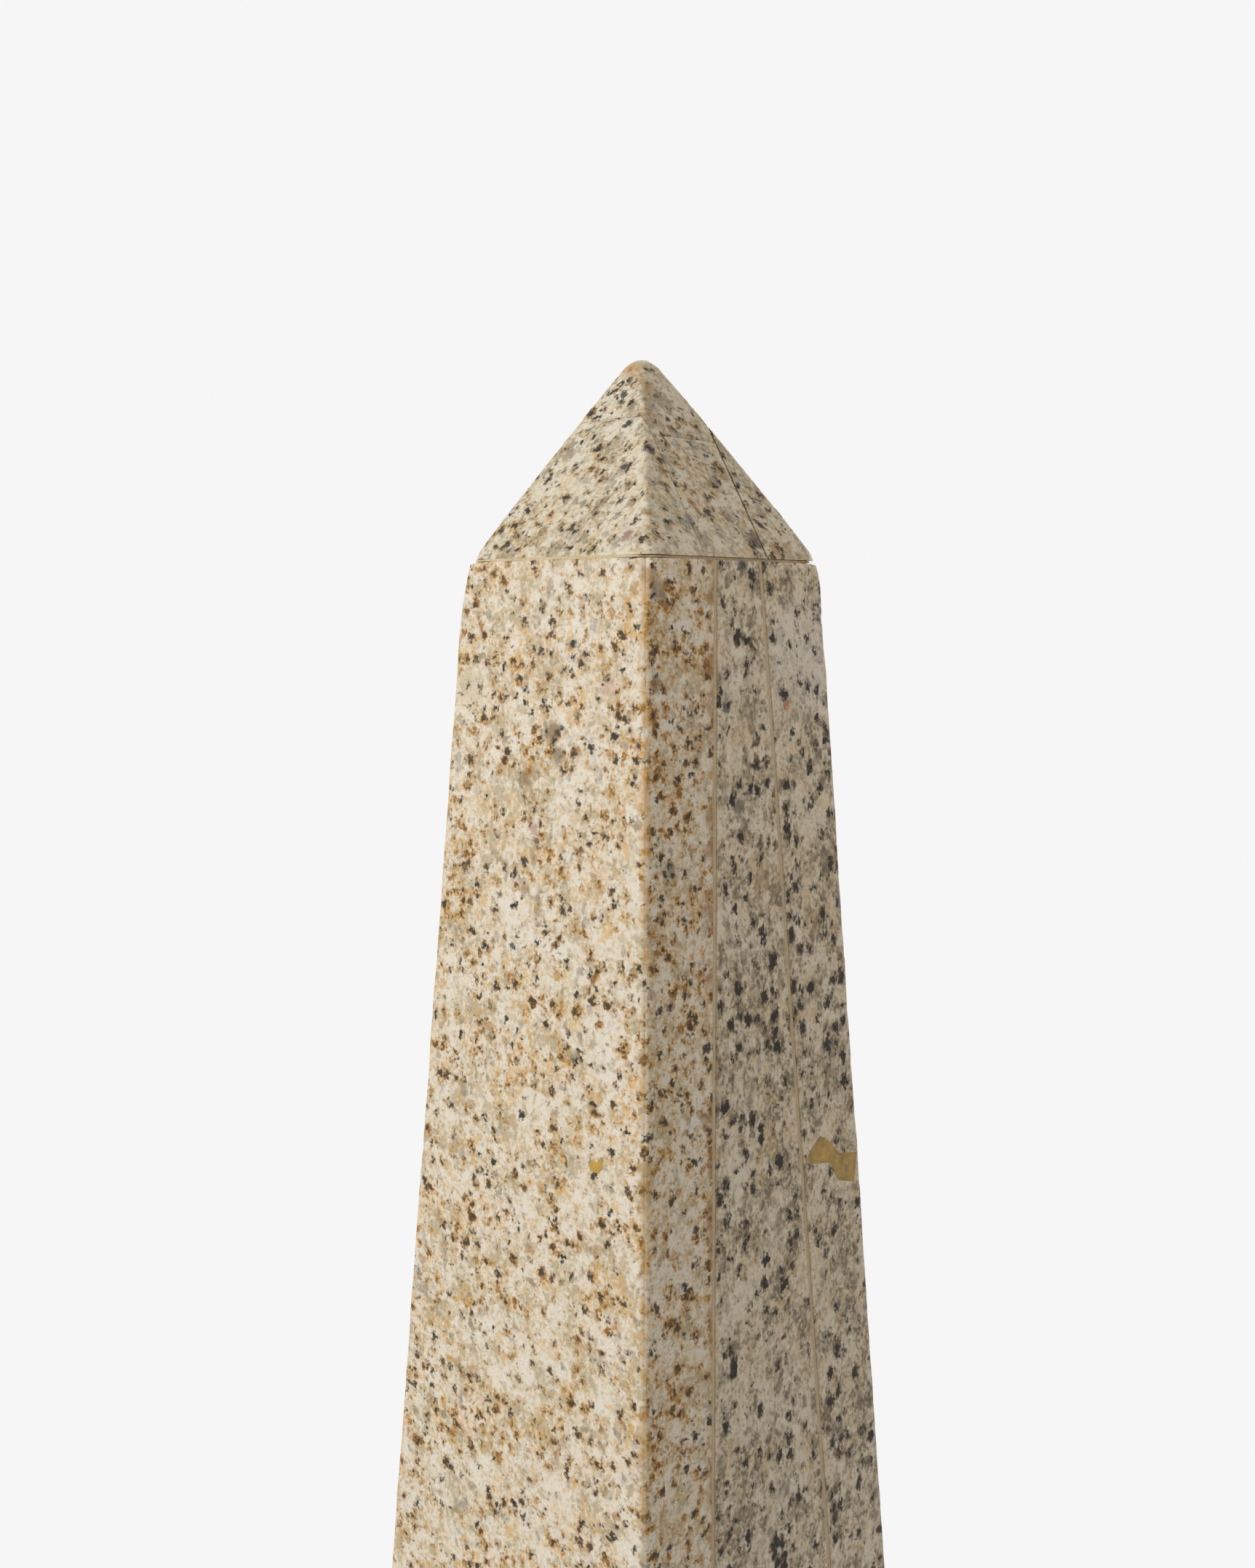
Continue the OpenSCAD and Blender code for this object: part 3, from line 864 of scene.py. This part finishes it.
def worn_block(node, stone, settings):
    """A worn block in the place of a CAD node."""
    carrier = new_object("carrier", bpy.data.meshes.new("carrier"))
    modifier = carrier.modifiers.new("worn_block", "NODES")
    modifier.node_group = block
    values = dict(zip(("Foot Low", "Foot High", "Top Low", "Top High"), sections(node)))
    values.update(settings, Stone=stone)
    for key, value in values.items():
        modifier[sockets[key]] = value
    bpy.context.view_layer.update()
    ready = carrier.evaluated_get(bpy.context.evaluated_depsgraph_get())
    mesh = bpy.data.meshes.new_from_object(ready)
    mesh.materials.pop(index=0)
    carrier.modifiers.remove(modifier)
    bpy.data.objects.remove(carrier)
    print(node, len(mesh.polygons), "faces")
    return plain_piece(node + "_worn", mesh, node)


print("the front slab's foot and top:", [tuple(round(v, 4) for v in p) for p in sections("front_slab")])

# %% Make the shaft's stones and joints
STONE_EDGE = {
    "Edge Radius": 0.3 * MM, "Arris Radius": 4.8 * MM, "Shoulder Radius": 8 * MM,
    "Shoulder Height": 14 * MM, "Nick Depth": 3.0 * MM, "Roughness": 0.0,
}
MORTAR_EDGE = dict(STONE_EDGE, **{"Edge Radius": 0.5 * MM, "Roughness": 0.3 * MM})
FRONT_EDGE = dict(STONE_EDGE, **{"Shoulder Radius": 12 * MM, "Shoulder Height": 36 * MM})
BED_EDGE = dict(MORTAR_EDGE, **{"Edge Radius": 0.2 * MM, "Arris Radius": 16 * MM, "Nick Depth": 0.0,
                                "Shoulder Radius": 0.0, "Roughness": 0.2 * MM})
SLAB_ROWS, PANEL_ROWS, STRIP_ROWS, BED_ROWS = (44, 20, 300), (16, 34, 300), (10, 8, 420), (60, 60, 4)

UNWORN = (0.0, 0.0)
JOINTS = [f"{face}_{hand}_mortar" for hand in ("right", "left") for face in ("front", "back")]

SHAFT = [
    ("front_slab", warm_granite, "warm_granite", FRONT_EDGE, SLAB_ROWS, (1.0, 0.0)),
    ("back_slab", grey_granite, "grey_granite", STONE_EDGE, SLAB_ROWS, (0.0, 1.0)),
    ("right_panel", grey_granite, "grey_granite", STONE_EDGE, PANEL_ROWS, UNWORN),
    ("left_panel", grey_granite, "grey_granite", STONE_EDGE, PANEL_ROWS, UNWORN),
    *[(node, joint_mortar, "mortar", MORTAR_EDGE, STRIP_ROWS, UNWORN) for node in JOINTS],
    ("cap_bed_mortar", bed_mortar, "mortar", BED_EDGE, BED_ROWS, (1.0, 0.8)),
]
SHIFT_STEP = Vector((310, 170, 730))
SEED_STEP = 100.0

for number, (node, stone, slot, edges, rows, worn) in enumerate(SHAFT):
    worn_block(node, stone, dict(
        edges, Rows=Vector(rows), Seed=SEED_STEP * number,
        **{"Front Worn": worn[0], "Back Worn": worn[1], "Piece Shift": SHIFT_STEP * number}))

# %% [markdown]
# ## The cap
#
# The cap was worn as one pyramid after it was pieced, so it is made as one and then cut. Rings of
# points climb from the bed to the tip: each is a square with round corners, and the corners wave and
# open in nicks as the shaft's do. Near the top the rings become circles and end in a small dome. The
# cap sits a little off centre, so the rings drift as they climb. Upright planes then cut it into the
# same five pieces that the part has. The seams are hairlines, but the one before the back slab has
# opened.

# %% How far the hips are worn
HIP_RADIUS = 2.8 * MM
HIP_WAVE, HIP_WAVE_LENGTH = 0.35, 22 * MM
HIP_NICK, HIP_NICK_LENGTH, HIP_NICK_FROM = 4 * MM, 7 * MM, 0.25
WAVE_APART, NICK_APART, NICK_LANE = 31.7, 77.1, 9
HIP_WEAR, HIP_WEAR_HEIGHT = 3.2 * MM, 30 * MM
FOOT_WEAR, FOOT_WEAR_HEIGHT, FOOT_WEAR_CURVE = 4.5 * MM, 6 * MM, 1.6
TIP_WEAR, TIP_WEAR_HEIGHT = 4 * MM, 28 * MM

tip_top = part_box("cap_tip_block")[1].z


def hip_radius(half, height, corner):
    """How far a hip is rounded at this height. The corner says which of the four hips it is."""
    wave = 1 + HIP_WAVE * noise.noise(Vector((WAVE_APART * corner, 0, height / HIP_WAVE_LENGTH)))
    nick = noise.noise(Vector((NICK_APART * corner, NICK_LANE, height / HIP_NICK_LENGTH)))
    nick = max(0, nick - HIP_NICK_FROM) * HIP_NICK
    above = height - cap_foot
    worn = HIP_WEAR * max(0, 1 - above / HIP_WEAR_HEIGHT)
    foot = FOOT_WEAR * max(0, 1 - above / FOOT_WEAR_HEIGHT) ** FOOT_WEAR_CURVE
    crest = TIP_WEAR * max(0, 1 - (tip_top - height) / TIP_WEAR_HEIGHT)
    return min(half, HIP_RADIUS * wave + nick + worn + foot + crest)


print("a hip at the bed:", round(hip_radius(cap_half, cap_foot, 0) / MM, 1), "mm")

# %% One ring of the cap
FOOT_DRIFT = 1.4 * MM
TIP_DRIFT = -0.6 * MM
SIDE_POINTS = 30
CORNER_CROWDING = 1.8


def cap_ring(half, height):
    """A square ring of points with round corners, off centre as the cap was set."""
    rise = (height - cap_foot) / (tip_top - cap_foot)
    drift = FOOT_DRIFT + (TIP_DRIFT - FOOT_DRIFT) * rise
    shares = [2 * (i / SIDE_POINTS) - 1 for i in range(SIDE_POINTS)]
    ring = []
    for quarter in range(4):
        for share in shares:
            crowded = math.copysign(1 - (1 - abs(share)) ** CORNER_CROWDING, share)
            along = half * crowded
            radius = hip_radius(half, height, (quarter + (share > 0)) % 4)
            dip = Vector((radius, math.copysign(max(0, radius - half + abs(along)), along)))
            cut = dip.normalized() * radius - dip
            ring.append(Matrix.Rotation(quarter * math.pi / 2, 2) @ Vector((half + cut.x, along + cut.y)))
    return [Vector((x + drift, y + drift, height)) for x, y in ring]


print("points in a ring:", len(cap_ring(cap_half, cap_foot)))

# %% Rings from the bed to the dome
RING_STEP = 1.5 * MM
FOOT_RIM = 0.15 * MM
TIP_SPREAD = 1.25

lean = math.atan(cap_slope)
dome_radius = (apex_z - tip_top) / (1 / math.sin(lean) - 1)
dome_centre = tip_top - dome_radius
dome_ring = dome_radius * math.cos(lean)
levels = []
steps = int((tip_top - cap_foot) / RING_STEP)
for step in range(steps):
    share = step / steps
    height = cap_foot + FOOT_RIM + (tip_top - cap_foot - FOOT_RIM) * (1 - (1 - share) ** TIP_SPREAD)
    half = (apex_z - height) * cap_slope
    if half < dome_ring:
        half = math.sqrt(max(0, dome_radius ** 2 - (height - dome_centre) ** 2))
    levels.append((half, height))
levels.insert(0, (cap_half - FOOT_RIM, cap_foot))
print("rings:", len(levels), "dome radius:", round(dome_radius / MM, 1), "mm")

# %% Skin the rings
whole = bmesh.new()
rings = [[whole.verts.new(p) for p in cap_ring(half, height)] for half, height in levels]
tip = whole.verts.new((TIP_DRIFT, TIP_DRIFT, tip_top))
count = len(rings[0])
for lower, higher in zip(rings, rings[1:]):
    for i in range(count):
        j = (i + 1) % count
        whole.faces.new((lower[i], lower[j], higher[j], higher[i]))
for i in range(count):
    whole.faces.new((rings[-1][i], rings[-1][(i + 1) % count], tip))
whole.faces.new(list(reversed(rings[0])))
bmesh.ops.recalc_face_normals(whole, faces=whole.faces)
print("the whole cap has", len(whole.faces), "faces")

# %% Cut the cap into its pieces
SEAM_EASE = 0.5 * MM
BACK_SEAM_OPEN = 0.6 * MM
OUTSIDE_WITHIN = 0.1 * MM
SAME_POINT = 1e-6


def cut_piece(node):
    """The part of the worn cap that lies within a CAD node's upright sides, closed where it was cut."""
    piece = whole.copy()
    low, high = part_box(node)
    if node == "cap_back_slab":
        low.y += BACK_SEAM_OPEN
    elif node != "cap_front_slab":
        high.y -= BACK_SEAM_OPEN
    planes = [((low.x, 0, 0), (-1, 0, 0)), ((high.x, 0, 0), (1, 0, 0)),
              ((0, low.y, 0), (0, -1, 0)), ((0, high.y, 0), (0, 1, 0))]
    for point, normal in planes:
        if abs(abs(Vector(point).length) - cap_half) < OUTSIDE_WITHIN:
            continue
        every = piece.verts[:] + piece.edges[:] + piece.faces[:]
        done = bmesh.ops.bisect_plane(piece, geom=every, dist=SAME_POINT, plane_co=point, plane_no=normal,
                                      clear_outer=True)
        edges = [e for e in done["geom_cut"] if isinstance(e, bmesh.types.BMEdge)]
        outline = {v for e in edges for v in e.verts if v.co.z > cap_foot + FOOT_RIM}
        bmesh.ops.contextual_create(piece, geom=edges)
        for vert in outline:
            vert.co -= Vector((vert.co.x, vert.co.y, 0)).normalized() * SEAM_EASE
    bmesh.ops.recalc_face_normals(piece, faces=piece.faces)
    if piece.calc_volume(signed=True) < 0:
        bmesh.ops.reverse_faces(piece, faces=piece.faces)
    return piece


print("the cap's back seam is opened by", round(2 * BACK_SEAM_OPEN / MM, 1), "mm")

# %% Make the cap's pieces
FIRST_CAP_SHIFT = 20
SHARP_ANGLE = math.radians(35)
CAP_PIECES = ["cap_front_slab", "cap_back_slab", "cap_right_panel", "cap_left_panel", "cap_tip_block"]
for number, node in enumerate(CAP_PIECES):
    piece = cut_piece(node)
    mesh = bpy.data.meshes.new(node + "_worn")
    piece.to_mesh(mesh)
    piece.free()
    mesh.materials.append(cap_granite)
    shift = mesh.attributes.new("piece_shift", "FLOAT_VECTOR", "POINT")
    shift.data.foreach_set("vector", np.tile(SHIFT_STEP * (FIRST_CAP_SHIFT + number), len(mesh.vertices)))
    hips = mesh.attributes.new("arris", "FLOAT", "POINT")
    hips.data.foreach_set("value", [
        max(0, 1 - abs(abs(v.co.x) - abs(v.co.y)) / ARRIS_STAIN) for v in mesh.vertices])
    mesh.shade_smooth()
    mesh.set_sharp_from_angle(angle=SHARP_ANGLE)
    plain_piece(node + "_worn", mesh, node)
    print(node, len(mesh.polygons), "faces")
whole.free()

# %% [markdown]
# ## Resin fills
#
# Two holes in the stone were made good with resin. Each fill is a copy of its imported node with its
# doubled points merged. It stands a fifth of a millimetre proud, as a hand-scraped fill does.

# %% Fill the two holes
PROUD = 0.2 * MM
FLAT_ANGLE = math.radians(1)
FILLS = {"front_resin_fill": Vector((0, -1, 0)), "edge_resin_fill": Vector((1, 0, 0))}

for node, facing in FILLS.items():
    fill = bmesh.new()
    fill.from_mesh(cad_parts[node].data)
    bmesh.ops.remove_doubles(fill, verts=fill.verts, dist=SAME_POINT)
    bmesh.ops.dissolve_limit(fill, angle_limit=FLAT_ANGLE, verts=fill.verts, edges=fill.edges)
    front = max(fill.faces, key=lambda f: f.normal.dot(facing) * f.calc_area())
    for vert in front.verts:
        vert.co += facing * PROUD
    mesh = bpy.data.meshes.new(node + "_worn")
    fill.to_mesh(mesh)
    fill.free()
    mesh.materials.clear()
    mesh.materials.append(repair_resin)
    plain_piece(node + "_worn", mesh, node)
    print(node, len(mesh.polygons), "faces")
